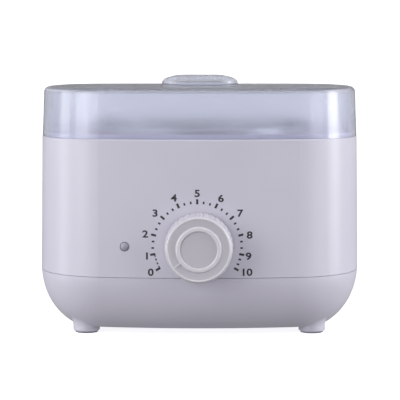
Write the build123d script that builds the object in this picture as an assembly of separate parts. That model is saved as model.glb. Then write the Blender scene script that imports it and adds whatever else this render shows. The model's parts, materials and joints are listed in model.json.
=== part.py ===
from build123d import *
import math
import os

os.makedirs("parts", exist_ok=True)

# An electric wax warmer. Millimetres, +Z up, the knob faces -Y, the table is z = 0.
# Everything is modelled round the pot's axis; save() then moves it into the part's own frame.

# Plan: a square with bulged sides and round corners, widest at the seam
HALF_WIDTH = 95.0
SIDE_R = 350.0
CORNER_R = 42.0
BULGE = SIDE_R - HALF_WIDTH
CORNER_C = (math.sqrt(2 * (SIDE_R - CORNER_R) ** 2 - BULGE**2) - BULGE) / 2
SIDE_ANGLE = math.degrees(math.asin(CORNER_C / (SIDE_R - CORNER_R)))

# Heights
UNDERSIDE = 4.1
SEAM = 35.0
DECK = 111.5
LID_TOP = 139.6
GRIP_TOP = 146.2

# Housing mouldings
WALL = 2.5
WALL_DRAFT = 0.0146
BOWL_IN = 34.0
BOWL_DOWN = 35.5
FLOOR_EDGE = 17.6
SEAM_GAP = 0.3
SEAM_LIP = 1.0
EDGE_R = 0.8
LID_WALL = 2.0
LID_DRAFT = 0.0397
LID_SET_IN = 0.2
LID_EDGE_R = 3.0
LID_INNER_R = 1.2
RIB_GAP = 0.6
RIB = 1.3
RIB_HEIGHT = 2.5

# Grip: a hollow pill with an elliptical crown
GRIP_FLAT = 9.0
GRIP_R = 14.0
GRIP_CROWN = 4.6
GRIP_FOOT_R = 2.0

# Feet and the screws inside them
FOOT_AT = 64.5
FOOT_R = 7.6
FOOT_END = 0.8
FOOT_BEVEL = 0.6
FOOT_TOP = 9.5
FOOT_TOP_R = 9.9
FLARE_R = 7.8
FLARE_FROM = 4.0
PAD_R = 6.4
PAD_HEIGHT = 2.2
TOWER_R = 6.2
TOWER_TOP = 30.0
BOSS_R = 4.6
SCREW_BRIDGE = 4.0
SCREW_R = 1.7

# Small fasteners: M3 studs and screws with their nuts
M3_R = 1.5
M3_HOLE = 1.6
NUT_ACROSS = 5.5
NUT_HEIGHT = 2.4
THREAD_GAP = 0.02

# Pot and heater well
POT_R = 57.6
POT_WALL = 1.2
POT_FLOOR = 45.8
RIM_R = 61.5
BEAD_R = 1.1
WELL_R = 60.0
WELL_WALL = 1.4
WELL_FLOOR = 44.0
FLANGE_R = 68.0
FLANGE = 1.2
GASKET = 0.8
STUD_CIRCLE = 65.0

# Bail
WIRE_R = 1.5
BAIL_R = 65.0
BAIL_BEND = 3.0
BAIL_Z = 117.6
BAIL_REST = -2.0
EAR_X = 54.9
RIVETS = (103.0, 109.0)
RIVET_R = 1.6

# Heater wrap; the split of band and insulation faces a back corner
SPLIT_AT = 52.5
BAND_R = 62.3
STRAP_R = 63.0
STRAP_Z = 74.0
STRAP_WIDTH = 8.0
LUG_R = 67.0
WRAP_R = 67.6
SHIELD_R = 66.0
SHIELD_Z = 28.0
SHIELD = 0.6

# Control
KNOB_Z = 52.5
KNOB_BACK = -95.6
KNOB_FACE = -109.7
KNOB_R = 19.0
KNOB_TAPER = 0.7
KNOB_OFF = 126.0
FLUTES = 34
FLUTE_R = 1.5
FLUTE_AT = KNOB_R + 1.22
DISC_R = 10.0
POINTER = 0.8
PLATE_Y = -90.5
PLATE = 1.5
CASE_BACK = -76.0
BASE_BACK = -71.0
CONTROL_SCREW_X = (-14.0, 14.0)
COUNTERBORE = 1.8
CONTROL_TAB_HALF = 3.15
CONTROL_TAB_Z = KNOB_Z - 3.0
SHAFT_R = 3.0
RUNNING = 0.05
LAMP_X = -41.0
LAMP_Z = 52.3
LAMP_R = 2.55

# Power inlet
INLET_Z = 52.0
INLET_FLOOR = 92.0
INLET_SCREW_X = (-20.0, 20.0)
PANEL_WALL = 1.2
PINS = ((-7.0, INLET_Z - 1.0), (7.0, INLET_Z - 1.0), (0.0, INLET_Z + 3.0))

# Under the well: bulb, fuse, earth; on the floor: the terminal block
BULB_ENDS = (-30.0, 16.0)
BULB_Y = -16.0
BULB_Z = WELL_FLOOR - 3.6
FUSE_X = 24.0
FUSE_Z = WELL_FLOOR - 2.6
EARTH = (0.0, 40.0)
LUG = 0.8
BLOCK_POSTS = ((-45.0, 31.0), (-15.0, 31.0))
BLOCK_WAYS = (-35.5, -24.5)
BLOCK_Z = 13.0
BLOCK_SCREW_Y = (26.0, 36.0)

# Leads
LEAD_R = 1.1
LAMP_LEAD_R = 0.55
CAPILLARY_R = 0.8

# The frame's origin is under the middle of the whole object, knob included
FRAME_SHIFT = (-KNOB_FACE - HALF_WIDTH) / 2


def save(name, *solids):
    """Write one sub-part, in the part's own frame."""
    shape = solids[0] if len(solids) == 1 else Compound(list(solids))
    export_step(shape.moved(Location((0, FRAME_SHIFT, 0))), f"parts/{name}.step")


def block(x0, x1, y0, y1, z0, z1):
    """A box from its lowest to its highest corner."""
    return Pos((x0 + x1) / 2, (y0 + y1) / 2, (z0 + z1) / 2) * Box(x1 - x0, y1 - y0, z1 - z0)


def rod(start, end, radius):
    """A cylinder between two points."""
    run = Vector(end) - Vector(start)
    return Part(Solid.make_cylinder(radius, run.length, Plane(origin=start, z_dir=run)).wrapped)


def tube(start, end, radius, bore):
    """A cylinder between two points with a bore along it."""
    return rod(start, end, radius) - rod(start, end, bore)


def polygon(*points):
    """A face from its corners."""
    return make_face(Polyline(*points, close=True))


def turned(profile, gap=0.0):
    """Turn an (r, z) profile about the pot's axis, leaving a gap in degrees at the split."""
    solid = revolve(Plane.XZ * profile, Axis.Z, 360 - gap)
    return Rot(0, 0, SPLIT_AT + gap / 2) * solid


def wrap(inner, outer, low, high, gap):
    """A split sleeve about the pot's axis."""
    return turned(polygon((inner, low), (outer, low), (outer, high), (inner, high)), gap)


def hexagon(centre, across, height):
    """A nut: a hexagonal prism upward from a point."""
    return Pos(*centre) * extrude(RegularPolygon(across / 2, 6, major_radius=False), height)


def around(radius, *angles):
    """Points on a circle about the pot's axis."""
    return [(radius * math.cos(math.radians(a)), radius * math.sin(math.radians(a))) for a in angles]


WELL_STUDS = around(STUD_CIRCLE, 0, 90, 180, 270)
SPACER_AT = around(48, 30, 150, 270)


def corners(offset):
    """The four corner points of a square."""
    return [(x * offset, y * offset) for x in (-1, 1) for y in (-1, 1)]


def outline(inset):
    """The plan, set in from the seam outline."""
    arcs = []
    for quarter in range(4):
        turn = Rot(0, 0, 90 * quarter)
        arcs.append(turn * CenterArc((-BULGE, 0), SIDE_R - inset, -SIDE_ANGLE, 2 * SIDE_ANGLE))
        arcs.append(turn * CenterArc((CORNER_C, CORNER_C), CORNER_R - inset, SIDE_ANGLE, 90 - 2 * SIDE_ANGLE))
    return make_face(arcs)


def plate(inset, z0, z1):
    """A flat plate with the plan's shape."""
    return extrude(Pos(0, 0, z0) * outline(inset), z1 - z0)


def ring(section):
    """Carry a section round the plan: its x is the distance out from the seam outline, its y the height."""
    arcs = (
        (-BULGE, 0, SIDE_R, -SIDE_ANGLE, 2 * SIDE_ANGLE),
        (CORNER_C, CORNER_C, CORNER_R, SIDE_ANGLE, 90 - 2 * SIDE_ANGLE),
    )
    pieces = []
    for x, y, radius, start, size in arcs:
        out = Vector(math.cos(math.radians(start)), math.sin(math.radians(start)), 0)
        plane = Plane(origin=Vector(x, y, 0) + out * radius, x_dir=out, z_dir=(out.Y, -out.X, 0))
        piece = revolve(plane * section, Axis((x, y, 0), (0, 0, 1)), size)
        pieces += [Rot(0, 0, 90 * quarter) * piece for quarter in range(4)]
    return Part() + pieces


def wall_in(z):
    """How far the housing's wall stands in from the seam outline at a height."""
    return WALL_DRAFT * (z - SEAM)


def front_y(x, z):
    """The y of the front wall's outer face."""
    return BULGE - math.sqrt((SIDE_R - wall_in(z)) ** 2 - x**2)


def lead(name, radius, *points):
    """An insulated lead along straight runs and arcs as large as the runs allow."""
    points = [Vector(p) for p in points]
    radii = []
    for before, corner, after in zip(points, points[1:], points[2:]):
        turn = math.radians((corner - before).get_angle(after - corner))
        shorter = min((corner - before).length, (after - corner).length)
        radii.append(0.45 * shorter / math.tan(turn / 2))
    path = FilletPolyline(*points, radius=radii)
    section = Plane(origin=path @ 0, z_dir=path % 0) * Circle(radius)
    save(name, sweep(section, path=path))


# ---- Housing

def base_housing():
    """The bowl: an elliptical section carried round the plan, a flat floor, four feet with screw towers."""
    centre = Pos(-BOWL_IN, SEAM)
    shell = centre * Ellipse(BOWL_IN, BOWL_DOWN) - centre * Ellipse(BOWL_IN - WALL, BOWL_DOWN - WALL)
    rim = SEAM - SEAM_GAP / 2
    floor_top = UNDERSIDE + WALL
    lower = polygon((-BOWL_IN, UNDERSIDE), (0, UNDERSIDE), (0, rim), (-SEAM_LIP, rim),
                    (-SEAM_LIP, SEAM), (-BOWL_IN, SEAM))
    strip_in = FLOOR_EDGE + 6
    floor_strip = polygon((-strip_in, UNDERSIDE), (-FLOOR_EDGE, UNDERSIDE),
                          (-FLOOR_EDGE, floor_top), (-strip_in, floor_top))
    body = ring((shell & lower) + floor_strip) + plate(FLOOR_EDGE + 3, UNDERSIDE, floor_top)

    flare = Pos(FOOT_R + FLARE_R, FLARE_FROM) * Circle(FLARE_R)
    foot = polygon((0, FOOT_END), (FOOT_R - FOOT_BEVEL, FOOT_END), (FOOT_R, FOOT_END + FOOT_BEVEL),
                   (FOOT_R, FLARE_FROM), (FOOT_TOP_R, FOOT_TOP), (0, FOOT_TOP))
    foot = revolve(Plane.XZ * (foot - flare), Axis.Z)
    for x, y in corners(FOOT_AT):
        body += Pos(x, y, 0) * foot
        body += rod((x, y, UNDERSIDE), (x, y, TOWER_TOP), TOWER_R)
    for x, y in corners(FOOT_AT):
        body -= rod((x, y, 0), (x, y, PAD_HEIGHT), PAD_R + RUNNING)
        body -= rod((x, y, 0), (x, y, TOWER_TOP - SCREW_BRIDGE), 4.2)
        body -= rod((x, y, 0), (x, y, TOWER_TOP + 1), 2.2)
    for x, y in BLOCK_POSTS:
        body += rod((x, y, UNDERSIDE), (x, y, floor_top + 2), 3.0)
        body -= rod((x, y, floor_top), (x, y, floor_top + 3), 1.2)
    return body


def upper_housing():
    """Drafted walls and the deck, with the openings for well, knob, lamp and inlet."""
    top_in = wall_in(DECK)
    rim = SEAM + SEAM_GAP / 2
    wall = polygon((0, rim), (-top_in, DECK), (-14, DECK), (-14, DECK - WALL),
                   (-top_in - WALL, DECK - WALL), (-WALL, SEAM), (-SEAM_LIP, SEAM), (-SEAM_LIP, rim))
    at_deck = wall.vertices().filter_by_position(Axis.Y, DECK - 0.1, DECK + 0.1)
    body = ring(fillet(at_deck.sort_by(Axis.X)[-1], EDGE_R)) + plate(12, DECK - WALL, DECK)

    rib_out = top_in + LID_SET_IN + LID_WALL + RIB_GAP
    rib_top = DECK + RIB_HEIGHT
    body += ring(polygon((-rib_out, DECK - 1), (-rib_out, rib_top), (-rib_out - RIB, rib_top),
                         (-rib_out - RIB, DECK - 1)))
    body -= rod((0, 0, DECK - 5), (0, 0, DECK + 5), WELL_R + 1)
    for x, y in WELL_STUDS:
        body -= rod((x, y, DECK - 5), (x, y, DECK + 1), M3_HOLE)

    for x, y in corners(FOOT_AT):
        body += rod((x, y, TOWER_TOP), (x, y, DECK - 1), BOSS_R)
        body -= rod((x, y, TOWER_TOP - 1), (x, y, TOWER_TOP + 20), SCREW_R)

    # Bosses behind the front wall carry the thermostat; the wall is bored for its bushing and screws.
    for x in CONTROL_SCREW_X:
        body += rod((x, front_y(x, KNOB_Z) + 1, KNOB_Z), (x, PLATE_Y, KNOB_Z), 4.0)
        body -= rod((x, -100, KNOB_Z), (x, PLATE_Y + 0.1, KNOB_Z), 2.15)
        body -= rod((x, -100, KNOB_Z), (x, front_y(x, KNOB_Z) + COUNTERBORE, KNOB_Z), 3.9)
    body -= rod((0, -100, KNOB_Z), (0, -85, KNOB_Z), 5.4)
    body -= rod((LAMP_X, -100, LAMP_Z), (LAMP_X, -85, LAMP_Z), LAMP_R + 0.1)

    # The inlet sits on a flat panel at the bottom of a pocket in the back wall.
    body += block(-28, 28, INLET_FLOOR - WALL, INLET_FLOOR + PANEL_WALL, INLET_Z - 14, INLET_Z + 14)
    body -= block(-25.5, 25.5, INLET_FLOOR, 100, INLET_Z - 12.5, INLET_Z + 12.5)
    body -= block(-14, 14, 80, 100, INLET_Z - 10.3, INLET_Z + 10.3)
    for x in INLET_SCREW_X:
        body -= rod((x, 80, INLET_Z), (x, 100, INLET_Z), M3_HOLE)
    return body


def lid():
    """One translucent moulding: drafted skirt, flat top and a hollow pill-shaped grip."""
    foot_in = wall_in(DECK) + LID_SET_IN
    top_in = foot_in + LID_DRAFT * (LID_TOP - DECK)
    ceiling = LID_TOP - LID_WALL
    skirt = polygon((-foot_in, DECK), (-top_in, LID_TOP), (-20, LID_TOP), (-20, ceiling),
                    (-top_in - LID_WALL, ceiling), (-foot_in - LID_WALL, DECK))
    outer_edge = skirt.vertices().filter_by_position(Axis.Y, LID_TOP - 0.1, LID_TOP + 0.1)
    skirt = fillet(outer_edge.sort_by(Axis.X)[-1], LID_EDGE_R)
    inner_edge = skirt.vertices().filter_by_position(Axis.Y, ceiling - 0.1, ceiling + 0.1)
    skirt = fillet(inner_edge.sort_by(Axis.X)[-1], LID_INNER_R)
    body = ring(skirt) + plate(18, ceiling, LID_TOP)
    hollow = grip(GRIP_R - LID_WALL, GRIP_TOP - LID_WALL, GRIP_CROWN - 0.6, ceiling - 1)
    body += grip(GRIP_R, GRIP_TOP, GRIP_CROWN, LID_TOP - 0.5) + grip_foot()
    return body - hollow


def grip(radius, top, crown, bottom):
    """A pill: straight walls under a quarter-ellipse crown, round at both ends."""
    spring = top - crown
    dome = Pos(0, spring) * Ellipse(radius, crown)
    half = dome & polygon((0, spring), (radius, spring), (radius, top), (0, top))
    half += polygon((0, bottom), (radius, bottom), (radius, spring), (0, spring))
    whole = half + mirror(half, Plane.YZ)
    middle = extrude(Plane.YZ * whole, GRIP_FLAT, both=True)
    end = revolve(Plane.XZ * half, Axis.Z)
    return middle + Pos(GRIP_FLAT, 0, 0) * end + Pos(-GRIP_FLAT, 0, 0) * end


def grip_foot():
    """The concave fillet where the grip meets the lid's top."""
    out = GRIP_R + GRIP_FOOT_R
    up = LID_TOP + GRIP_FOOT_R
    corner = polygon((GRIP_R - 1, LID_TOP - 0.5), (out, LID_TOP - 0.5), (out, LID_TOP),
                     (GRIP_R, up), (GRIP_R - 1, up))
    corner -= Pos(out, up) * Circle(GRIP_FOOT_R)
    side = extrude(Plane.YZ * corner, GRIP_FLAT, both=True)
    end = revolve(Plane.XZ * corner, Axis.Z)
    return side + mirror(side, Plane.XZ) + Pos(GRIP_FLAT, 0, 0) * end + Pos(-GRIP_FLAT, 0, 0) * end


# ---- Pot

def pot():
    """A spun aluminium pot with an out-turned lip and a rolled bead."""
    seat = DECK + GASKET + FLANGE
    inner = POT_R - POT_WALL
    lip_top = seat + POT_WALL
    floor_top = POT_FLOOR + POT_WALL
    profile = polygon((0, POT_FLOOR), (POT_R - 2.6, POT_FLOOR), (POT_R, POT_FLOOR + 2.6), (POT_R, seat),
                      (RIM_R, seat), (RIM_R, lip_top), (inner + 1, lip_top), (inner, seat + 0.2),
                      (inner, floor_top + 1.9), (inner - 1.9, floor_top), (0, floor_top))
    profile += Pos(RIM_R, seat + BEAD_R) * Circle(BEAD_R)
    body = revolve(Plane.XZ * profile, Axis.Z)
    for side in (-1, 1):
        for z in RIVETS:
            body -= rod((side * 50, 0, z), (side * 60, 0, z), RIVET_R)
    return body


def bail_ear(side):
    """A tab inside the pot's wall, bored for the wire above the rim."""
    x = (EAR_X * side, (EAR_X + 1.2) * side)
    tab = block(min(x), max(x), -5, 5, 98.5, 118) + rod((x[0], 0, BAIL_Z), (x[1], 0, BAIL_Z), 4)
    for z in RIVETS:
        tab -= rod((side * 50, 0, z), (side * 60, 0, z), RIVET_R)
    return tab - rod((side * 50, 0, BAIL_Z), (side * 60, 0, BAIL_Z), WIRE_R + RUNNING)


def bail():
    """A wire half hoop, folded back, whose ends turn in through the ears."""
    ends = []
    for side in (-1, 1):
        ends.append(Line((side * (EAR_X - 1), 0), (side * (BAIL_R - BAIL_BEND), 0)))
        start = -90 if side > 0 else 270
        ends.append(CenterArc((side * (BAIL_R - BAIL_BEND), BAIL_BEND), BAIL_BEND, start, side * 90))
    hoop = CenterArc((0, BAIL_BEND), BAIL_R, 0, 180)
    path = Wire([ends[2], ends[3], hoop, ends[1], ends[0]])
    section = Plane(origin=path @ 0, z_dir=path % 0) * Circle(WIRE_R)
    wire = sweep(section, path=path)
    for side in (-1, 1):
        wire += rod((side * (EAR_X - 1.8), 0, 0), (side * (EAR_X - 0.8), 0, 0), 2.4)
    return Pos(0, 0, BAIL_Z) * Rot(BAIL_REST, 0, 0) * wire


def rivets():
    """Two flush rivets through each ear and the pot's wall."""
    solids = []
    for side in (-1, 1):
        for z in RIVETS:
            shank = rod((side * EAR_X, 0, z), (side * (POT_R - RUNNING), 0, z), RIVET_R)
            solids.append(shank + rod((side * (EAR_X - 0.9), 0, z), (side * EAR_X, 0, z), 2.6))
    return solids


# ---- Heater

def heater_well():
    """The cup that holds the pot; its flange closes the deck."""
    seat = DECK + GASKET
    inner = WELL_R - WELL_WALL
    floor_top = WELL_FLOOR + WELL_WALL
    return turned(polygon((0, WELL_FLOOR), (WELL_R - 2.5, WELL_FLOOR), (WELL_R, WELL_FLOOR + 2.5),
                          (WELL_R, seat), (FLANGE_R, seat), (FLANGE_R, seat + FLANGE),
                          (inner, seat + FLANGE), (inner, floor_top + 1.6), (inner - 1.6, floor_top),
                          (0, floor_top)))


def well_gasket():
    body = tube((0, 0, DECK), (0, 0, DECK + GASKET), FLANGE_R - 0.5, WELL_R + 1.2)
    for x, y in WELL_STUDS:
        body -= rod((x, y, DECK - 1), (x, y, DECK + 2), M3_HOLE)
    return body


def well_studs():
    return [rod((x, y, DECK - 9), (x, y, DECK + GASKET), M3_R) for x, y in WELL_STUDS]


def nuts(points, z):
    """M3 nuts from a height upward."""
    solids = []
    for x, y in points:
        nut = hexagon((x, y, z), NUT_ACROSS, NUT_HEIGHT)
        solids.append(nut - rod((x, y, z - 1), (x, y, z + 4), M3_R + THREAD_GAP))
    return solids


def clamp_strap():
    """A steel strap round the band, its two lugs drawn together by a screw."""
    low = STRAP_Z - STRAP_WIDTH / 2
    high = STRAP_Z + STRAP_WIDTH / 2
    strap = wrap(BAND_R + RUNNING, STRAP_R, low, high, 14)
    for y in (-8.2, 7.2):
        strap += Rot(0, 0, SPLIT_AT) * block(BAND_R - 0.2, 70, y, y + 1, low, high)
    return strap - Rot(0, 0, SPLIT_AT) * rod((LUG_R, -12, STRAP_Z), (LUG_R, 12, STRAP_Z), M3_HOLE)


def strap_screw():
    screw = rod((LUG_R, -8.2, STRAP_Z), (LUG_R, 12, STRAP_Z), M3_R)
    screw += rod((LUG_R, -10.4, STRAP_Z), (LUG_R, -8.2, STRAP_Z), NUT_ACROSS / 2)
    return Rot(0, 0, SPLIT_AT) * screw


def strap_nut():
    nut = Pos(LUG_R, 8.2 + NUT_HEIGHT, STRAP_Z) * Rot(90, 0, 0) * hexagon((0, 0, 0), NUT_ACROSS, NUT_HEIGHT)
    return Rot(0, 0, SPLIT_AT) * (nut - rod((LUG_R, 7, STRAP_Z), (LUG_R, 12, STRAP_Z), M3_R + THREAD_GAP))


def heater_tab(angle):
    """A flat connector hanging from the band beside its split."""
    return Rot(0, 0, angle) * block(BAND_R + RUNNING, BAND_R + 0.85, -3.15, 3.15, 44, 60)


def heat_shield():
    body = rod((0, 0, SHIELD_Z - SHIELD), (0, 0, SHIELD_Z), SHIELD_R)
    for x, y in SPACER_AT:
        body -= rod((x, y, SHIELD_Z - 2), (x, y, SHIELD_Z + 2), M3_HOLE)
    return body


def saddle(radius, length, drop):
    """A sheet clip across a round body that hangs under the well's floor; runs along X, centred."""
    sheet = 0.6
    bore = radius + 0.03
    bight = Circle(radius + sheet) + Pos(0, drop / 2) * Rectangle(2 * (radius + sheet), drop)
    bight -= Circle(bore) + Pos(0, drop / 2) * Rectangle(2 * bore, drop)
    for side in (-1, 1):
        bight += Pos(side * (radius + 3.2), drop - sheet / 2) * Rectangle(6.0, sheet)
    return extrude(Plane.YZ * bight, length / 2, both=True)


# ---- Control

def thermostat_plate():
    """The mounting plate and the bushing that the shaft turns in."""
    body = block(-19, 19, PLATE_Y, PLATE_Y + PLATE, KNOB_Z - 15, KNOB_Z + 15)
    body += rod((0, PLATE_Y, KNOB_Z), (0, -95.2, KNOB_Z), 5.0)
    for x in CONTROL_SCREW_X:
        body -= rod((x, PLATE_Y - 1, KNOB_Z), (x, PLATE_Y + 3, KNOB_Z), 1.8)
    return body - rod((0, -100, KNOB_Z), (0, PLATE_Y + 3, KNOB_Z), SHAFT_R + RUNNING)


def thermostat_case():
    """The switch's metal box behind the plate."""
    body = block(-17, 17, PLATE_Y + PLATE, CASE_BACK, KNOB_Z - 20, KNOB_Z + 20)
    body = fillet(body.edges().filter_by(Axis.Y), 3)
    for x in CONTROL_SCREW_X:
        body -= rod((x, PLATE_Y, KNOB_Z), (x, -80, KNOB_Z), 2.2)
    return body - rod((0, PLATE_Y, KNOB_Z), (0, -82, KNOB_Z), SHAFT_R + RUNNING)


def control_tab(side, gap):
    """One flat connector of the thermostat, or with a gap the slot it stands in."""
    middle = (CASE_BACK + BASE_BACK) / 2 - 0.5
    reach = (side * 12, side * (24 - 10 * gap))
    return block(min(reach), max(reach), middle - 0.4 - gap, middle + 0.4 + gap,
                 CONTROL_TAB_Z - CONTROL_TAB_HALF - gap, CONTROL_TAB_Z + CONTROL_TAB_HALF + gap)


def thermostat_base():
    """The insulating back of the switch, slotted for its connectors."""
    body = block(-16, 16, CASE_BACK, BASE_BACK, KNOB_Z - 18, KNOB_Z + 18)
    body = fillet(body.edges().filter_by(Axis.Y), 3)
    for side in (-1, 1):
        body -= control_tab(side, RUNNING)
    return body


def thermostat_tabs():
    return [control_tab(side, 0.0) for side in (-1, 1)]


def thermostat_screws():
    """Two screws from the front, hidden by the knob."""
    solids = []
    for x in CONTROL_SCREW_X:
        head = front_y(x, KNOB_Z) + COUNTERBORE
        screw = rod((x, head, KNOB_Z), (x, PLATE_Y + 3.4, KNOB_Z), 1.75)
        solids.append(screw + rod((x, head - 1.6, KNOB_Z), (x, head, KNOB_Z), 3.6))
    return solids


def shaft():
    """A round shaft with a flat for the knob at its front end."""
    body = rod((0, -82.5, 0), (0, -106, 0), SHAFT_R)
    return knob_turn(body - block(-4, 4, -107, -96.5, SHAFT_R - 0.7, SHAFT_R + 1))


def knob_insert():
    """A spring steel sleeve in the knob's hub, flat where the shaft is flat."""
    sleeve = rod((0, -97, 0), (0, -106.5, 0), 3.8) - rod((0, -96, 0), (0, -106.2, 0), SHAFT_R + 0.02)
    sleeve += block(-2, 2, -106.2, -97, SHAFT_R - 0.68, SHAFT_R + 0.3)
    return knob_turn(sleeve)


def knob_turn(shape):
    """Turn what is made pointing to 12 o'clock back to the off stop, and lift it to the shaft's height."""
    return Pos(0, 0, KNOB_Z) * Rot(0, -KNOB_OFF, 0) * shape


def knob():
    """A fluted, tapered knob with a raised ring round a recessed disc and a pointer rib."""
    front_r = KNOB_R - KNOB_TAPER
    face = KNOB_FACE
    profile = polygon((3.9, KNOB_BACK - 1.2), (6.2, KNOB_BACK - 1.2), (6.2, face + 4.4),
                      (front_r - 2.4, face + 4.4), (KNOB_R - 2.2, KNOB_BACK), (KNOB_R, KNOB_BACK),
                      (front_r + 0.1, face + 1.9), (front_r - 0.3, face + 0.7), (front_r - 1.0, face + 0.1),
                      (front_r - 1.5, face + 0.1), (front_r - 1.8, face + 0.4), (12.75, face + 0.75),
                      (12.15, face + 0.15), (11.8, face),
                      (10.5, face), (DISC_R + 0.15, face + 0.2), (DISC_R, face + 0.9), (0, face + 0.9),
                      (0, face + 3.0), (3.9, face + 3.0))
    body = revolve(profile, Axis.Y)
    slope = KNOB_TAPER / (KNOB_BACK - face)
    over = 4.0
    start = (0, KNOB_BACK + over, FLUTE_AT + over * slope)
    end = (0, face - over, FLUTE_AT - slope * (KNOB_BACK - face + over))
    flute = rod(start, end, FLUTE_R)
    for n in range(FLUTES):
        body -= Rot(0, 360 / FLUTES * (n + 0.5), 0) * flute
    body += block(-POINTER / 2, POINTER / 2, face + 0.05, face + 1.5, 12.0, front_r - 1.4)
    return knob_turn(body)


def lamp():
    """A 5 mm lamp with a domed end just proud of the wall."""
    wall = front_y(LAMP_X, LAMP_Z)
    dome = wall + 0.9
    profile = polygon((0, wall - 1.0), (1.2, wall - 0.75), (2.1, wall - 0.1), (LAMP_R, dome),
                      (LAMP_R, wall + 8), (2.95, wall + 8), (2.95, wall + 9), (0, wall + 9))
    return Pos(LAMP_X, 0, LAMP_Z) * revolve(profile, Axis.Y)


def lamp_holder():
    wall = front_y(LAMP_X, LAMP_Z) + WALL + 0.9
    return tube((LAMP_X, wall, LAMP_Z), (LAMP_X, wall + 4, LAMP_Z), 4.4, LAMP_R + 0.02)


def lamp_board():
    y = front_y(LAMP_X, LAMP_Z) + 9
    return block(LAMP_X - 7, LAMP_X + 7, y, y + 1.2, LAMP_Z - 9, LAMP_Z + 9)


# ---- Power

def power_inlet():
    """A three-pin appliance inlet: flange, body and its socket."""
    body = block(-25, 25, INLET_FLOOR, INLET_FLOOR + 1.6, INLET_Z - 12, INLET_Z + 12)
    body = fillet(body.edges().filter_by(Axis.Y), 2.5)
    body += block(-13.7, 13.7, 77, INLET_FLOOR + 1, INLET_Z - 10, INLET_Z + 10)
    socket = block(-12, 12, 80, 100, INLET_Z - 8.25, INLET_Z + 8.25)
    body -= chamfer(socket.edges().filter_by(Axis.Y).group_by(Axis.Z)[-1], 4)
    for x, z in PINS:
        body -= pin(x, z, 0.02)
    for x in INLET_SCREW_X:
        body -= rod((x, 80, INLET_Z), (x, 100, INLET_Z), M3_HOLE)
        body -= rod((x, INLET_FLOOR + 0.6, INLET_Z), (x, 100, INLET_Z), 2.9)
    return body


def pin(x, z, gap=0.0):
    return block(x - 1 - gap, x + 1 + gap, 72, 90, z - 2 - gap, z + 2 + gap)


def inlet_screws():
    solids = []
    for x in INLET_SCREW_X:
        head = rod((x, INLET_FLOOR + 0.6, INLET_Z), (x, INLET_FLOOR + 1.6, INLET_Z), 2.8)
        solids.append(head + rod((x, 84, INLET_Z), (x, INLET_FLOOR + 0.6, INLET_Z), M3_R))
    return solids


def inlet_nuts():
    solids = []
    for x in INLET_SCREW_X:
        nut = Pos(x, INLET_FLOOR - WALL, INLET_Z) * Rot(90, 0, 0) * hexagon((0, 0, 0), NUT_ACROSS, NUT_HEIGHT)
        solids.append(nut - rod((x, 84, INLET_Z), (x, 92, INLET_Z), M3_R + THREAD_GAP))
    return solids


def terminal_block():
    floor_top = UNDERSIDE + WALL
    body = block(-41, -19, 22, 40, floor_top + 2, 20)
    body += block(-49, -11, 27, 35, floor_top + 2, floor_top + 4)
    for x in BLOCK_WAYS:
        body -= rod((x, 21, BLOCK_Z), (x, 41, BLOCK_Z), 2.45)
        for y in BLOCK_SCREW_Y:
            body -= rod((x, y, BLOCK_Z), (x, y, 21), 1.9)
    for x, y in BLOCK_POSTS:
        body -= rod((x, y, 0), (x, y, 15), 1.6)
    return body


def terminal_tubes():
    solids = []
    for x in BLOCK_WAYS:
        body = tube((x, 22, BLOCK_Z), (x, 40, BLOCK_Z), 2.4, 1.25)
        for y in BLOCK_SCREW_Y:
            body -= rod((x, y, BLOCK_Z), (x, y, 21), 1.5)
        solids.append(body)
    return solids


def terminal_screws():
    return [rod((x, y, BLOCK_Z + 1.2), (x, y, 19.6), 1.45) for x in BLOCK_WAYS for y in BLOCK_SCREW_Y]


def block_screws():
    """Two screws through the block's feet into the floor posts."""
    z = UNDERSIDE + WALL + 4
    solids = []
    for x, y in BLOCK_POSTS:
        solids.append(rod((x, y, z - 3.8), (x, y, z), 1.15) + rod((x, y, z), (x, y, z + 1.8), 2.5))
    return solids


def housing_screws():
    """Screws with their heads down, up the towers of the feet into the bosses of the upper housing."""
    z = TOWER_TOP - SCREW_BRIDGE
    solids = []
    for x, y in corners(FOOT_AT):
        solids.append(rod((x, y, z), (x, y, z + 18), SCREW_R) + rod((x, y, z - 2.6), (x, y, z), 3.7))
    return solids


def earth_lug():
    """A ring terminal under the well's floor."""
    x, y = EARTH
    body = tube((x, y, WELL_FLOOR - LUG), (x, y, WELL_FLOOR), 4.0, M3_HOLE)
    return body + block(x - 2, x + 2, y + 3, y + 10, WELL_FLOOR - LUG, WELL_FLOOR)


def earth_screw():
    x, y = EARTH
    head = hexagon((x, y, WELL_FLOOR - LUG - NUT_HEIGHT), NUT_ACROSS, NUT_HEIGHT)
    return head + rod((x, y, WELL_FLOOR - LUG), (x, y, WELL_FLOOR), M3_R)


def thermal_fuse():
    body = rod((FUSE_X, 0, FUSE_Z), (FUSE_X, 12, FUSE_Z), 2.0)
    return body + rod((FUSE_X, -7, FUSE_Z), (FUSE_X, 19, FUSE_Z), 0.5)


save("base_housing", base_housing())
save("upper_housing", upper_housing())
save("lid", lid())
save("foot_pads", *[rod((x, y, 0), (x, y, PAD_HEIGHT), PAD_R) for x, y in corners(FOOT_AT)])
save("housing_screws", *housing_screws())

save("pot", pot())
save("bail_ears", bail_ear(-1), bail_ear(1))
save("ear_rivets", *rivets())
save("pot_bail", bail())

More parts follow.
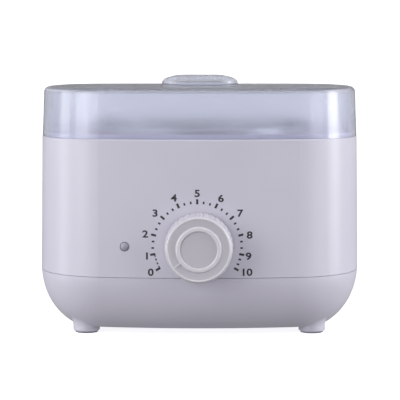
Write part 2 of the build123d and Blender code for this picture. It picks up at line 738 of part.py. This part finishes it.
save("heater_well", heater_well())
save("well_gasket", well_gasket())
save("well_studs", *well_studs())
save("well_nuts", *nuts(WELL_STUDS, DECK - WALL - NUT_HEIGHT))
save("band_heater", wrap(WELL_R + RUNNING, BAND_R, 54, 94, 12))
save("heater_tabs", heater_tab(SPLIT_AT - 15), heater_tab(SPLIT_AT + 15))
save("clamp_strap", clamp_strap())
save("strap_screw", strap_screw())
save("strap_nut", strap_nut())
save("insulation_wrap", wrap(STRAP_R + 0.3, WRAP_R, 50, 98, 42))
save("heat_shield", heat_shield())
save("shield_spacers", *[tube((x, y, SHIELD_Z), (x, y, WELL_FLOOR), 3.0, M3_HOLE) for x, y in SPACER_AT])
save("shield_studs", *[rod((x, y, 22.5), (x, y, WELL_FLOOR), M3_R) for x, y in SPACER_AT])
save("shield_nuts", *nuts(SPACER_AT, SHIELD_Z - SHIELD - NUT_HEIGHT))

save("thermostat_plate", thermostat_plate())
save("thermostat_case", thermostat_case())
save("thermostat_base", thermostat_base())
save("thermostat_tabs", *thermostat_tabs())
save("thermostat_screws", *thermostat_screws())
save("thermostat_shaft", shaft())
save("knob_insert", knob_insert())
save("control_knob", knob())
save("sensing_bulb", rod((BULB_ENDS[0], BULB_Y, BULB_Z), (BULB_ENDS[1], BULB_Y, BULB_Z), 3.0))
save("bulb_clip", Pos(sum(BULB_ENDS) / 2, BULB_Y, BULB_Z) * saddle(3.0, 12, WELL_FLOOR - BULB_Z))
save("thermal_fuse", thermal_fuse())
save("fuse_clip", Pos(FUSE_X, 6, FUSE_Z) * Rot(0, 0, 90) * saddle(2.0, 5, WELL_FLOOR - FUSE_Z))

save("indicator_lamp", lamp())
save("lamp_holder", lamp_holder())
save("lamp_board", lamp_board())

save("power_inlet", power_inlet())
save("inlet_pins", *[pin(x, z) for x, z in PINS])
save("inlet_screws", *inlet_screws())
save("inlet_nuts", *inlet_nuts())
save("terminal_block", terminal_block())
save("terminal_tubes", *terminal_tubes())
save("terminal_screws", *terminal_screws())
save("block_screws", *block_screws())
save("earth_lug", earth_lug())
save("earth_screw", earth_screw())

# ---- Leads: each one ends on its terminal, face to face
live, neutral = BLOCK_WAYS
tab_foot = CONTROL_TAB_Z - CONTROL_TAB_HALF
board_y = front_y(LAMP_X, LAMP_Z) + 9.6
board_foot = LAMP_Z - 9
lead("capillary_tube", CAPILLARY_R, (BULB_ENDS[0], BULB_Y, BULB_Z), (-40, BULB_Y, BULB_Z), (-48, -32, 37),
     (-46, -54, 33), (-36, -68, 28), (-22, -79, 24), (-8, -84, 25), (-8, -84, 32.5))
lead("lead_live_in", LEAD_R, (-7, 74, 49), (-7, 74, 34), (-10, 73, 20), (-22, 64, 13), (-34, 54, 12.5),
     (live, 40, BLOCK_Z))
lead("lead_neutral_in", LEAD_R, (7, 74, 49), (7, 74, 32), (5, 70, 18), (-6, 60, 12), (-20, 52, 12.5),
     (neutral, 40, BLOCK_Z))
lead("lead_live_thermostat", LEAD_R, (live, 22, BLOCK_Z), (-36, 8, 12), (-36, -14, 11), (-34, -40, 12),
     (-30, -62, 16), (-21, -74, 32), (-21, -74, tab_foot))
lead("lead_thermostat_fuse", LEAD_R, (21, -74, tab_foot), (21, -74, 37), (23, -60, 34), (24, -40, 36),
     (FUSE_X, -18, FUSE_Z), (FUSE_X, -7, FUSE_Z))
lead("lead_fuse_heater", LEAD_R, (FUSE_X, 19, FUSE_Z), (FUSE_X, 28, FUSE_Z), (32, 38, 36), (44, 42, 34),
     (50, 38.35, 37), (50, 38.35, 44))
lead("lead_neutral_heater", LEAD_R, (neutral, 22, BLOCK_Z), (-23, 8, 13), (-8, 0, 13), (10, 10, 13),
     (22, 34, 14), (28, 56, 19), (27, 65, 28), (23.6, 57.9, 36), (23.6, 57.9, 44))
lead("lead_earth", LEAD_R, (0, 74, 53), (0, 74, 46), (0, 71, 39), (0, 62, 36), (0, 55, 38),
     (0, 50, WELL_FLOOR - 1.1))
lead("lamp_lead_live", LAMP_LEAD_R, (-39, board_y, board_foot), (-39, board_y, 37), (-34, -81, 32),
     (-27, -77, 33), (-23.2, -74, 39), (-23.2, -74, tab_foot))
spur = neutral - 1.83
lead("lamp_lead_neutral", LAMP_LEAD_R, (spur, 22, BLOCK_Z), (spur, 10, BLOCK_Z), (-28, -2, 15),
     (-31, -18, 19), (-38, -40, 21), (-44, -60, 22), (-45, -76, 28), (-43, board_y, 36),
     (-43, board_y, board_foot))
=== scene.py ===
import json
import math

import bpy
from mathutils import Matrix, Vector


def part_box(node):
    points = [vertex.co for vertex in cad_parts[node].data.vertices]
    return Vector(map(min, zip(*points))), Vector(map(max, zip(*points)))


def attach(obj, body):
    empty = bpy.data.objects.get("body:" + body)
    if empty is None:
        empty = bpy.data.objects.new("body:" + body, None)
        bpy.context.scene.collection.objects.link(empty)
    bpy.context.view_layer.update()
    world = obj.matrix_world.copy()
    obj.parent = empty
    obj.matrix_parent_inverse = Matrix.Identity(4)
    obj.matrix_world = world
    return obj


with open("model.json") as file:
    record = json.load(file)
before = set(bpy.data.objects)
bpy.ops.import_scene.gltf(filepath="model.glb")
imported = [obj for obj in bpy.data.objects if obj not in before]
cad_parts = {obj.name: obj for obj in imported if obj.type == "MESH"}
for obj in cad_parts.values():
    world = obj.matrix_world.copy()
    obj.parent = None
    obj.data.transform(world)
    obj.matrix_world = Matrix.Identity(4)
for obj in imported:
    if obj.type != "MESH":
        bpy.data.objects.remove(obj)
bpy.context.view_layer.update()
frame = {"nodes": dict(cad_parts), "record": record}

MM = 0.001


# ---- Places, worked out from the frame

housing_low, housing_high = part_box("upper_housing")
AXIS_Y = (housing_low.y + housing_high.y) / 2      # the pot's axis stands at x = 0 and this y
HALF_WIDTH = (housing_high.x - housing_low.x) / 2
BOSS_DROP = 5.0 * MM          # the upper housing's screw bosses end this far below the seam
SEAM = housing_low.z + BOSS_DROP
SIDE_R = 350.0 * MM           # the front wall's arc in plan, at the seam
WALL_DRAFT = 0.0146           # the wall's lean, as run over rise
knob_low, knob_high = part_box("control_knob")
KNOB = Vector(((knob_low.x + knob_high.x) / 2, knob_low.y, (knob_low.z + knob_high.z) / 2))


def front_y(x, z):
    """The y of the front wall's outer face: a large arc that leans back as it rises."""
    radius = SIDE_R - WALL_DRAFT * (z - SEAM)
    return AXIS_Y + SIDE_R - HALF_WIDTH - math.sqrt(radius**2 - x**2)


# ---- Node materials

def linear(hex_colour):
    """An sRGB hex colour as linear RGBA."""
    channels = [int(hex_colour[i:i + 2], 16) / 255 for i in (1, 3, 5)]
    return [c / 12.92 if c <= 0.04045 else ((c + 0.055) / 1.055) ** 2.4 for c in channels] + [1.0]


def add(tree, kind, values=None, links=None, **settings):
    """Add a node with its settings, its input values and the sockets linked into it."""
    made = tree.nodes.new(kind)
    for name, value in settings.items():
        setattr(made, name, value)
    for name, value in (values or {}).items():
        made.inputs[name].default_value = value
    for name, source in (links or {}).items():
        tree.links.new(source, made.inputs[name])
    return made


def per_mm(size):
    """The texture scale whose features are this many millimetres across."""
    return 1 / (size * MM)


def finish(name, colour, roughness, height=None, depth=0.0, tint=None, rough_map=None, rough_span=0.0,
           lamp_rays=None, shader=None):
    """A Principled material, with shader as its further input values. height, rough_map and tint's second
    half are functions (tree, coordinates) -> a 0..1 socket. depth is the relief's height in millimetres, and
    lamp_rays the colour that lamps' rays keep when they pass straight through."""
    made = bpy.data.materials.new(name)
    made.use_nodes = True
    tree = made.node_tree
    tree.nodes.clear()
    where = add(tree, "ShaderNodeTexCoord").outputs["Object"]
    surface = add(tree, "ShaderNodeBsdfPrincipled",
                  {"Base Color": linear(colour), "Roughness": roughness, **(shader or {})})
    if tint:
        mix = add(tree, "ShaderNodeMix", {}, {"Factor": tint[1](tree, where)}, data_type="RGBA")
        mix.inputs["A"].default_value = linear(colour)
        mix.inputs["B"].default_value = linear(tint[0])
        tree.links.new(mix.outputs["Result"], surface.inputs["Base Color"])
    if rough_map:
        span = add(tree, "ShaderNodeMapRange",
                   {"To Min": roughness - rough_span, "To Max": roughness + rough_span},
                   {"Value": rough_map(tree, where)})
        tree.links.new(span.outputs["Result"], surface.inputs["Roughness"])
    if height:
        bump = add(tree, "ShaderNodeBump", {"Strength": 1.0, "Distance": depth * MM},
                   {"Height": height(tree, where)})
        tree.links.new(bump.outputs["Normal"], surface.inputs["Normal"])
    shown = surface.outputs["BSDF"]
    if lamp_rays:
        from_lamp = add(tree, "ShaderNodeLightPath").outputs["Is Shadow Ray"]
        clear = add(tree, "ShaderNodeBsdfTransparent", {"Color": linear(lamp_rays)}).outputs["BSDF"]
        shown = add(tree, "ShaderNodeMixShader", {}, {0: from_lamp, 1: shown, 2: clear}).outputs["Shader"]
    add(tree, "ShaderNodeOutputMaterial", {}, {"Surface": shown})
    return made


SOFT_DETAIL = 2.0             # octaves of a soft noise
STREAK_DETAIL = 3.0           # octaves of a noise that is drawn out into lines


def noise(tree, vector, size, detail):
    """Noise over a vector, with features of a size in millimetres."""
    return add(tree, "ShaderNodeTexNoise", {"Scale": per_mm(size), "Detail": detail},
               {"Vector": vector}).outputs["Fac"]


def cloud(size):
    """Soft noise with features of a size in millimetres."""
    def build(tree, where):
        return noise(tree, where, size, SOFT_DETAIL)
    return build


def cells(size):
    """Flat crystal-like patches of a size in millimetres."""
    def build(tree, where):
        grid = add(tree, "ShaderNodeTexVoronoi", {"Scale": per_mm(size)}, {"Vector": where})
        return add(tree, "ShaderNodeSeparateColor", {}, {"Color": grid.outputs["Color"]}).outputs["Red"]
    return build


def stretched(size, stretch):
    """Noise drawn out along some axes, for drawing lines, tool marks and fibres."""
    def build(tree, where):
        pulled = add(tree, "ShaderNodeMapping", {"Scale": stretch}, {"Vector": where})
        return noise(tree, pulled.outputs["Vector"], size, STREAK_DETAIL)
    return build


def turning_rings(size):
    """Fine rings about the pot's axis, left by spinning."""
    def build(tree, where):
        centred = add(tree, "ShaderNodeVectorMath", {1: (0, AXIS_Y, 0)}, {0: where}, operation="SUBTRACT")
        split = add(tree, "ShaderNodeSeparateXYZ", {}, {"Vector": centred.outputs["Vector"]})
        flat = add(tree, "ShaderNodeCombineXYZ", {}, {"X": split.outputs["X"], "Y": split.outputs["Y"]})
        radius = add(tree, "ShaderNodeVectorMath", {}, {0: flat.outputs["Vector"]}, operation="LENGTH")
        line = add(tree, "ShaderNodeCombineXYZ", {}, {"X": radius.outputs["Value"], "Y": split.outputs["Z"]})
        return noise(tree, line.outputs["Vector"], size, STREAK_DETAIL)
    return build


FOREMOST = 0.1 * MM           # what lies within this of the knob's front counts as foremost


def front_most(depth):
    """Mask of a painted highlight: 1 on the knob's foremost surfaces, fading to 0 a depth in millimetres
    behind its front.
    """
    def build(tree, where):
        split = add(tree, "ShaderNodeSeparateXYZ", {}, {"Vector": where})
        return add(tree, "ShaderNodeMapRange",
                   {"From Min": KNOB.y + depth * MM, "From Max": KNOB.y + FOREMOST},
                   {"Value": split.outputs["Y"]}).outputs["Result"]
    return build


WAVE_PERIOD = math.pi / 10    # the distance between bands of a wave texture whose scale is 1
THREAD_PITCH = 1.508          # millimetres from thread to thread
THREAD_LEAN = 0.7             # radians that each set of threads is turned about two axes
THREAD_WANDER = 0.4           # how far the threads stray from straight


def braid(tree, where):
    """Two crossing sets of slanting threads."""
    sets = []
    for lean in (THREAD_LEAN, -THREAD_LEAN):
        turned = add(tree, "ShaderNodeMapping", {"Rotation": (0, lean, lean)}, {"Vector": where})
        sets.append(add(tree, "ShaderNodeTexWave",
                        {"Scale": WAVE_PERIOD * per_mm(THREAD_PITCH), "Distortion": THREAD_WANDER},
                        {"Vector": turned.outputs["Vector"]}).outputs["Fac"])
    return add(tree, "ShaderNodeMath", {}, {0: sets[0], 1: sets[1]}, operation="MULTIPLY").outputs["Value"]


METAL = {"Metallic": 1.0}

# ABS, injection moulded in a satin tool: a soft sheen that widens every light, with the faintest orange peel.
abs_white = finish("abs_moulded_white", "#dedbea", 0.36, height=cloud(0.9), depth=0.012,
                   tint=("#d5d2e2", cloud(45)), rough_map=cloud(12), rough_span=0.04, shader={"IOR": 1.53})

# Styrene-acrylonitrile lid, moulded frosted: light passes but scatters, so what is behind shows as soft
# patches. The lamps shine straight in through it.
san_frosted = finish("san_moulded_frosted", "#e0e2ed", 0.2, height=cloud(1.1), depth=0.01,
                     rough_map=cloud(9), rough_span=0.05, lamp_rays="#c6c7cc",
                     shader={"IOR": 1.49, "Transmission Weight": 0.9})

# Polycarbonate-ABS knob, moulded smooth: what stands foremost on its face is painted pale, a painted
# highlight on the raised ring, rim and pointer.
pc_knob = finish("pc_abs_moulded_knob", "#d3d0da", 0.30, height=cloud(0.7), depth=0.01,
                 tint=("#e9e7ee", front_most(0.4)), rough_map=cloud(6), rough_span=0.05,
                 shader={"IOR": 1.55})

# Pad-printing ink: a thin matt film whose colour breaks up slightly.
ink_grey = finish("pad_print_ink_grey", "#323138", 0.55, height=cloud(0.25), depth=0.006,
                  tint=("#3d3c43", cloud(0.6)))

# Thermoplastic rubber feet: matt blue-grey with a fine drag texture.
tpr_foot = finish("tpr_moulded_foot", "#8d94a6", 0.72, height=cloud(0.35), depth=0.02,
                  tint=("#7c8396", cloud(3)))

# Aluminium, spun on a lathe and left bright: fine rings stretch each highlight round the pot.
aluminium_spun = finish("aluminium_spun_bright", "#e6e7ea", 0.3, height=turning_rings(0.5), depth=0.006,
                        rough_map=cloud(14), rough_span=0.06, shader=METAL)

# Aluminium, spun and anodised: the well's satin, greyer than the pot.
aluminium_satin = finish("aluminium_spun_anodised", "#dcdde1", 0.45, height=turning_rings(0.8), depth=0.008,
                         rough_map=cloud(10), rough_span=0.06, shader=METAL)

# Stainless wire, drawn bright: smooth, with hair lines along it.
wire_drawn = finish("stainless_wire_drawn", "#cfd0d3", 0.18, height=stretched(0.3, (0.2, 1, 1)), depth=0.003,
                    rough_map=cloud(4), rough_span=0.05, shader=METAL)

# Steel, zinc plated: cool bright metal with a faint spangle.
steel_zinc = finish("steel_zinc_plated", "#b9bcc2", 0.33, height=cloud(0.6), depth=0.005,
                    tint=("#a4a8b0", cells(1.6)), rough_map=cells(1.6), rough_span=0.06, shader=METAL)

# Brass, turned: warm metal with tool marks.
brass_turned = finish("brass_turned", "#c9a860", 0.28, height=stretched(0.4, (1, 0.15, 1)), depth=0.005,
                      rough_map=cloud(3), rough_span=0.06, shader=METAL)

# Copper, drawn and dulled: brown-pink with darker patches of oxide.
copper_drawn = finish("copper_drawn_dull", "#b87754", 0.4, height=cloud(0.8), depth=0.006,
                      tint=("#8a5a45", cloud(5)), rough_map=cloud(2), rough_span=0.1, shader=METAL)

# Silicone rubber, moulded: matt brick red with a fine grain.
silicone_red = finish("silicone_moulded_red", "#a5503c", 0.6, height=cloud(0.5), depth=0.02,
                      tint=("#94463a", cloud(6)))

# Mica, pressed from flakes into sheet: grey-brown patches, some duller than others.
mica_sheet = finish("mica_pressed_sheet", "#8f8168", 0.42, height=cells(1.2), depth=0.03,
                    tint=("#a79a80", cells(2.2)), rough_map=cells(1.2), rough_span=0.12)

# Glass wool, needled into a mat: pale, matt and fibrous.
glass_wool = finish("glass_wool_needled", "#dcd9cd", 0.95, height=stretched(0.7, (1, 1, 0.25)), depth=0.5,
                    tint=("#c5c0ae", cloud(4)), shader={"Sheen Weight": 0.3})

# Steatite ceramic, pressed and fired: off-white and dry, with a fine grit.
steatite = finish("steatite_fired", "#e2ddd0", 0.62, height=cloud(0.3), depth=0.02,
                  tint=("#d6cfbf", cloud(2)))

# Nylon, moulded on a spark-eroded tool: black with an even grain of pits.
nylon_spark = finish("nylon_moulded_black", "#232427", 0.5, height=cloud(0.3), depth=0.03,
                     tint=("#2e2f33", cloud(2)))

# Epoxy lamp, cast with a diffuser in it: milky lavender that lets some light in.
epoxy_lamp = finish("epoxy_cast_diffused", "#c9c7d8", 0.26, height=cloud(0.5), depth=0.004,
                    tint=("#b4b2c6", cloud(1.5)), shader={"IOR": 1.5, "Transmission Weight": 0.15})

# Epoxy-glass board under solder mask: green, half gloss, with the weave just showing.
laminate = finish("epoxy_glass_masked", "#2d5a3c", 0.35, height=stretched(0.5, (1, 1, 0.5)), depth=0.02,
                  tint=("#356b46", cloud(2)))


def sleeve(name, colour, second):
    """Lead sleeving, silicone over glass braid or the braid alone: a fine diamond relief in two colours."""
    return finish(name, colour, 0.5, height=braid, depth=0.08, tint=(second, braid))


sleeve_brown = sleeve("silicone_sleeve_brown", "#5a3a28", "#4c3021")
sleeve_blue = sleeve("silicone_sleeve_blue", "#2f5591", "#284a80")
sleeve_earth = sleeve("silicone_sleeve_green_yellow", "#5d8a2c", "#c9b52e")
sleeve_white = sleeve("glass_braid_sleeve", "#dedacb", "#c9c4b2")

FINISHES = {
    "housing_plastic": abs_white,
    "lid_plastic": san_frosted,
    "foot_rubber": tpr_foot,
    "knob_plastic": pc_knob,
    "dial_ink": ink_grey,
    "pot_aluminium": aluminium_spun,
    "well_aluminium": aluminium_satin,
    "bright_wire": wire_drawn,
    "zinc_steel": steel_zinc,
    "silicone": silicone_red,
    "mica": mica_sheet,
    "glass_wool": glass_wool,
    "brass": brass_turned,
    "copper": copper_drawn,
    "ceramic": steatite,
    "black_nylon": nylon_spark,
    "lamp_epoxy": epoxy_lamp,
    "board_laminate": laminate,
    "lead_brown": sleeve_brown,
    "lead_blue": sleeve_blue,
    "lead_earth": sleeve_earth,
    "lead_white": sleeve_white,
}

for part in frame["record"]["subparts"]:
    obj = frame["nodes"][part["node"]]
    obj.data.materials.clear()
    obj.data.materials.append(FINISHES[part["material_slot"]])


# ---- Printed dial

def piece(name, verts, faces, body, slot):
    """A mesh piece in the frame's metres, with its finish, riding on a body."""
    mesh = bpy.data.meshes.new(name)
    mesh.from_pydata(verts, [], faces)
    mesh.validate()
    mesh.materials.append(FINISHES[slot])
    made = bpy.data.objects.new(name, mesh)
    bpy.context.scene.collection.objects.link(made)
    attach(made, body)
    return made


INK = 0.03 * MM               # how far the ink stands out of the wall, and how far its rim goes in
DIAL_SHIFT = -0.9 * MM        # the print's centre is a little left of the knob's
DIAL = Vector((KNOB.x + DIAL_SHIFT, 0, KNOB.z))
TICKS = [-120, -100, -75, -50, -25, 0, 25, 50, 75, 100, 120]      # degrees clockwise from 12 o'clock
TICK_IN = 23.5 * MM
TICK_OUT = 26.3 * MM
TICK_WIDTH = 1.2 * MM
DOT_SHARES = (1 / 3, 2 / 3)   # where the dots stand between two ticks
DOT_IN = 23.8 * MM
DOT_OUT = 25.2 * MM
DOT_WIDTH = 0.95 * MM
OFF_DASHES = [(-120, -116.5), (-114.2, -111.4), (-108.8, -106), (-103.5, -100)]
OFF_R = TICK_IN + 0.3 * MM    # the dashed arc between 0 and 1
OFF_WIDTH = 0.7 * MM
DIGIT_HEIGHT = 3.95 * MM
DIGIT_SHARE = 0.73            # a digit's height as a share of the font's size
DIGIT_STRETCH = 1.2           # width against the font's own
DIGIT_WEIGHT = 0.15 * MM      # how far each outline is swollen
DIGIT_STEPS = 6               # straight pieces for each curve of an outline

# Angle, and radius in millimetres, of each number's middle. They follow the ticks, the wide 10 further out.
NUMBERS = [(-119, 29.3), (-100.6, 28.2), (-76.3, 29.5), (-51.3, 29.7), (-25.4, 29.9), (0, 29.5),
           (26, 29.8), (52, 30.1), (77.4, 29.6), (100.6, 28.8), (117, 31.2)]


def on_wall(x, z, lift=INK):
    """A point on the front wall, given from the dial's centre, lifted off the wall."""
    return (DIAL.x + x, front_y(DIAL.x + x, DIAL.z + z) - lift, DIAL.z + z)


def stroke(points, width):
    """A flat printed line through points, as a strip of quads with a rim down to the wall."""
    verts, faces = [], []
    count = len(points)
    for i, point in enumerate(points):
        ahead = Vector(points[min(i + 1, count - 1)]) - Vector(points[max(i - 1, 0)])
        side = Vector((-ahead.y, ahead.x)).normalized() * width / 2
        for sign in (-1, 1):
            x, z = point[0] + sign * side.x, point[1] + sign * side.y
            verts += [on_wall(x, z), on_wall(x, z, -INK)]
    for i in range(count - 1):
        a = 4 * i
        faces += [(a, a + 4, a + 6, a + 2), (a + 1, a + 3, a + 7, a + 5),
                  (a, a + 1, a + 5, a + 4), (a + 2, a + 6, a + 7, a + 3)]
    last = 4 * (count - 1)
    faces += [(0, 2, 3, 1), (last, last + 1, last + 3, last + 2)]
    return verts, faces


def radial(angle, inner, outer, steps=4):
    """Points along a ray at an angle in degrees clockwise from 12 o'clock."""
    a = math.radians(angle)
    radii = [inner + (outer - inner) * i / steps for i in range(steps + 1)]
    return [(math.sin(a) * radius, math.cos(a) * radius) for radius in radii]


def arc(start, end, radius, steps=8):
    """Points along a circle about the dial's centre, between two angles."""
    angles = [math.radians(start + (end - start) * i / steps) for i in range(steps + 1)]
    return [(math.sin(a) * radius, math.cos(a) * radius) for a in angles]


def printed(name, strokes):
    """One piece made of several printed strokes, each a line of points and a width."""
    verts, faces = [], []
    for points, width in strokes:
        more_verts, more_faces = stroke(points, width)
        faces += [tuple(i + len(verts) for i in face) for face in more_faces]
        verts += more_verts
    return piece(name, verts, faces, "housing", "dial_ink")


printed("dial_ticks", [(radial(a, TICK_IN, TICK_OUT), TICK_WIDTH) for a in TICKS])
dots = []
for low, high in zip(TICKS[1:], TICKS[2:]):
    for share in DOT_SHARES:
        dots.append((radial(low + (high - low) * share, DOT_IN, DOT_OUT), DOT_WIDTH))
printed("dial_dots", dots)
printed("dial_off_zone", [(arc(start, end, OFF_R), OFF_WIDTH) for start, end in OFF_DASHES])


def digit(text, angle, radius):
    """An upright number round the dial, cut from a font outline and laid on the wall."""
    curve = bpy.data.curves.new("digit", "FONT")
    curve.body = text
    curve.size = DIGIT_HEIGHT / DIGIT_SHARE
    curve.align_x = "CENTER"
    curve.align_y = "CENTER"
    curve.offset = DIGIT_WEIGHT
    curve.resolution_u = DIGIT_STEPS
    curve.extrude = INK
    outline = bpy.data.objects.new("digit", curve)
    bpy.context.scene.collection.objects.link(outline)
    bpy.context.view_layer.update()
    mesh = bpy.data.meshes.new_from_object(outline)
    bpy.data.objects.remove(outline)
    corners = [v.co.copy() for v in mesh.vertices]
    middle = Vector((sum((min(c[i] for c in corners), max(c[i] for c in corners))) / 2 for i in (0, 1)))
    a = math.radians(angle)
    place = Vector((math.sin(a) * radius, math.cos(a) * radius))
    verts = [on_wall((c.x - middle.x) * DIGIT_STRETCH + place.x, c.y - middle.y + place.y, c.z)
             for c in corners]
    faces = [tuple(f.vertices) for f in mesh.polygons]
    return piece("dial_number_" + text, verts, faces, "housing", "dial_ink")


for number, (angle, radius) in enumerate(NUMBERS):
    digit(str(number), angle, radius * MM)


# ---- Stage, light and camera

SWEEP_SIDE = 3.0              # metres, as all the stage is: half the sweep's width
SWEEP_NEAR = 2.5              # how far it reaches in front
SWEEP_FAR = 1.4               # how far behind it stands upright
SWEEP_BEND = 0.5              # radius of the curve between
SWEEP_RISE = 1.6              # height above the curve
SWEEP_STEPS = 16
PAPER_GLOW = 0.75


def backdrop():
    """A pale sweep: floor in front, curving up behind."""
    flat_end = SWEEP_FAR - SWEEP_BEND
    turns = [math.pi / 2 * i / SWEEP_STEPS for i in range(1, SWEEP_STEPS + 1)]
    profile = [(-SWEEP_NEAR, 0.0), (flat_end, 0.0)]
    profile += [(flat_end + SWEEP_BEND * math.sin(a), SWEEP_BEND - SWEEP_BEND * math.cos(a)) for a in turns]
    profile.append((SWEEP_FAR, SWEEP_RISE + SWEEP_BEND))
    verts = [(x, y, z) for y, z in profile for x in (-SWEEP_SIDE, SWEEP_SIDE)]
    faces = [(2 * i, 2 * i + 1, 2 * i + 3, 2 * i + 2) for i in range(len(profile) - 1)]
    mesh = bpy.data.meshes.new("floor")
    mesh.from_pydata(verts, [], faces)
    for polygon in mesh.polygons:
        polygon.use_smooth = True
    # Seamless paper: matt, pale, a little brighter than the light alone would leave it.
    glow = {"Emission Color": linear("#ffffff"), "Emission Strength": PAPER_GLOW}
    mesh.materials.append(finish("paper_seamless", "#f4f4f6", 0.9, tint=("#f1f1f4", cloud(60)), shader=glow))
    made = bpy.data.objects.new("floor", mesh)
    # The paper neither lights the bowl from below nor mirrors itself in the lid's flat top.
    made.visible_diffuse = False
    made.visible_glossy = False
    bpy.context.scene.collection.objects.link(made)


def softbox(name, place, width, height, watts):
    """A white rectangular lamp turned to face the part's middle."""
    data = bpy.data.lights.new(name, "AREA")
    data.shape = "RECTANGLE"
    data.size = width
    data.size_y = height
    data.energy = watts
    made = bpy.data.objects.new(name, data)
    made.location = place
    made.rotation_euler = (Vector(LAMP_AIM) - Vector(place)).to_track_quat("-Z", "Y").to_euler()
    bpy.context.scene.collection.objects.link(made)


LAMP_AIM = (0, AXIS_Y, 0.08)  # the part's middle

# Tall strips round the front, a metre from the axis, as degrees from straight ahead and watts. The strongest
# is far out at the side, so the middle stays calm and the corners shine.
STRIPS = {-80: 3.6, -50: 3.3, -35: 1.8, 50: 1.7, 80: 7.8}
STRIP_WIDTH = 0.35
STRIP_LENGTH = 0.9
STRIP_HEIGHT = 0.25

# One narrow lamp above and a little in front: a soft sheen on the lid's top and its grip.
OVERHEAD_WIDTH = 0.9
OVERHEAD_DEPTH = 0.14
OVERHEAD_FORWARD = 0.25
OVERHEAD_HEIGHT = 1.1
OVERHEAD_WATTS = 2.2
WORLD_LIGHT = 0.27

backdrop()
for turn, watts in STRIPS.items():
    a = math.radians(turn)
    place = (math.sin(a), AXIS_Y - math.cos(a), STRIP_HEIGHT)
    softbox(f"strip_{turn}", place, STRIP_WIDTH, STRIP_LENGTH, watts)
place = (0, AXIS_Y - OVERHEAD_FORWARD, OVERHEAD_HEIGHT)
softbox("overhead", place, OVERHEAD_WIDTH, OVERHEAD_DEPTH, OVERHEAD_WATTS)

world = bpy.data.worlds.new("studio")
world.use_nodes = True
world.node_tree.nodes["Background"].inputs["Color"].default_value = linear("#ffffff")
world.node_tree.nodes["Background"].inputs["Strength"].default_value = WORLD_LIGHT
bpy.context.scene.world = world

CAMERA_BACK = 916.4 * MM      # from the pot's axis
CAMERA_RIGHT = 5.5 * MM
CAMERA_HEIGHT = 153.9 * MM
CAMERA_PITCH = 0.0916         # radians below level
CAMERA_YAW = 0.0059           # radians to the left
FOCAL_LENGTH = 135.35
SENSOR_WIDTH = 36.0
lens = bpy.data.cameras.new("camera")
lens.lens = FOCAL_LENGTH
lens.sensor_width = SENSOR_WIDTH
camera = bpy.data.objects.new("camera", lens)
camera.location = (CAMERA_RIGHT, AXIS_Y - CAMERA_BACK, CAMERA_HEIGHT)
camera.rotation_euler = (math.pi / 2 - CAMERA_PITCH, 0, CAMERA_YAW)
bpy.context.scene.collection.objects.link(camera)
bpy.context.scene.camera = camera
bpy.context.scene.view_settings.view_transform = "Standard"
